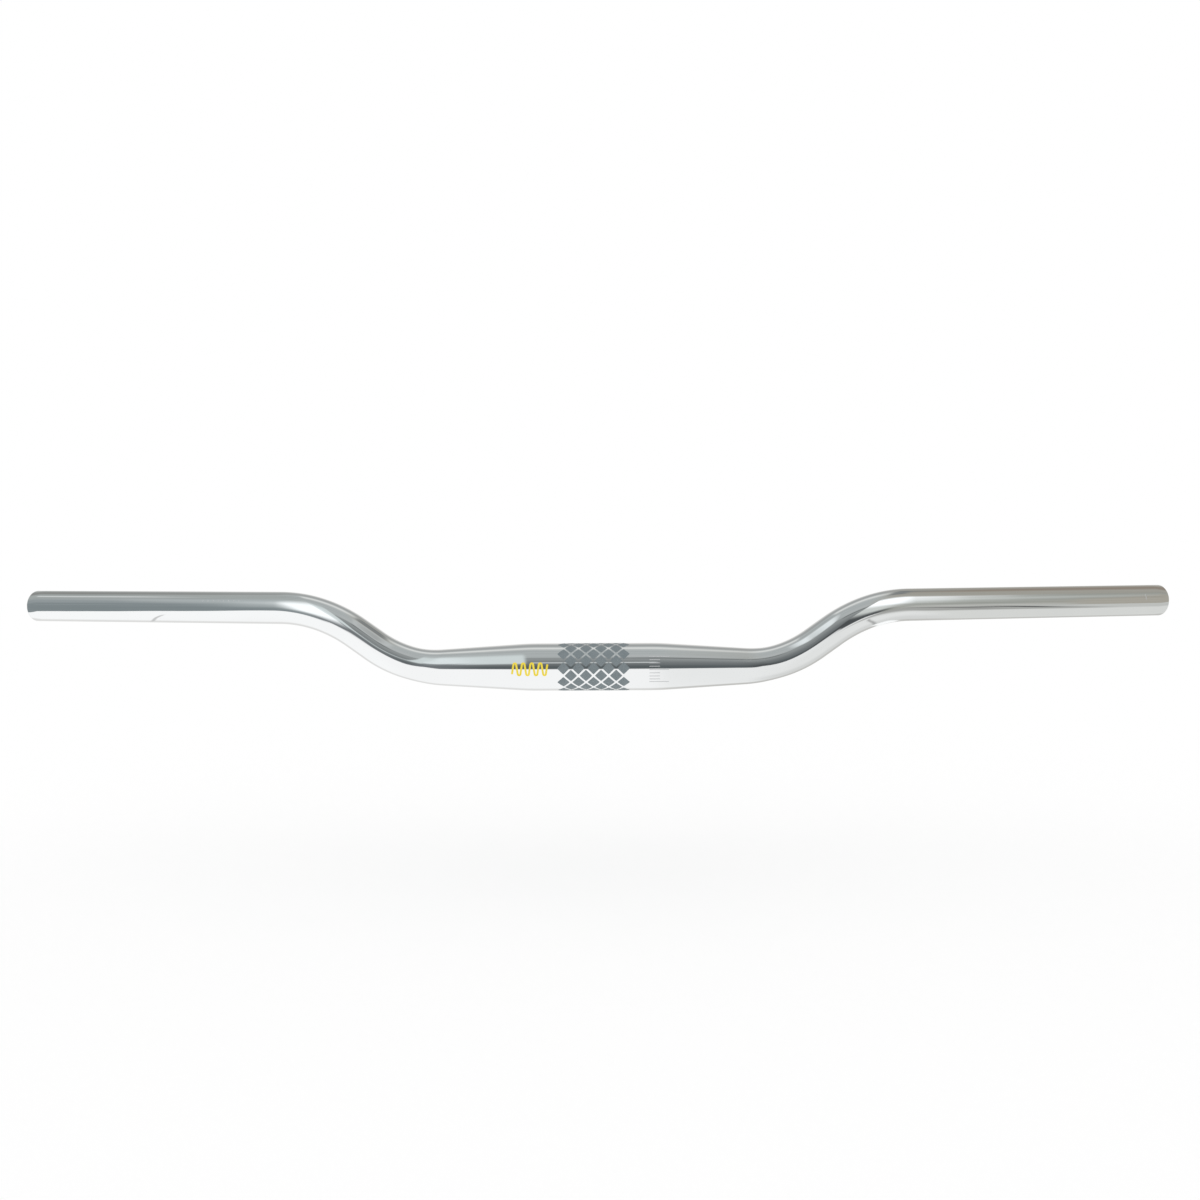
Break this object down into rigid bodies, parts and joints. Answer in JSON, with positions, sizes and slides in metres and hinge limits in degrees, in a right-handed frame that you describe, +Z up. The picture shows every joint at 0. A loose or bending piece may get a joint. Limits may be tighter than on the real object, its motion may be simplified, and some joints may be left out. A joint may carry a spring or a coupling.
{
  "type": "bicycle handlebar",
  "caption": "Riser handlebar for a bicycle: polished aluminium tube with a wide clamp zone, tapers, S bends and straight swept-back grip zones with open ends.",
  "frame": {"origin": "centre of the clamp zone, on its axis", "axes": "+X along the clamp zone, to the right as seen from in front, +Y back towards the rider, +Z up"},
  "size_m": [0.8248, 0.0849, 0.0699],
  "materials": {
    "polished_aluminium": "mirror polished",
    "grey_print": "thin satin print",
    "yellow_print": "thin satin print"
  },
  "bodies": {
    "root": {"handlebar": "polished_aluminium"}
  },
  "joints": []
}
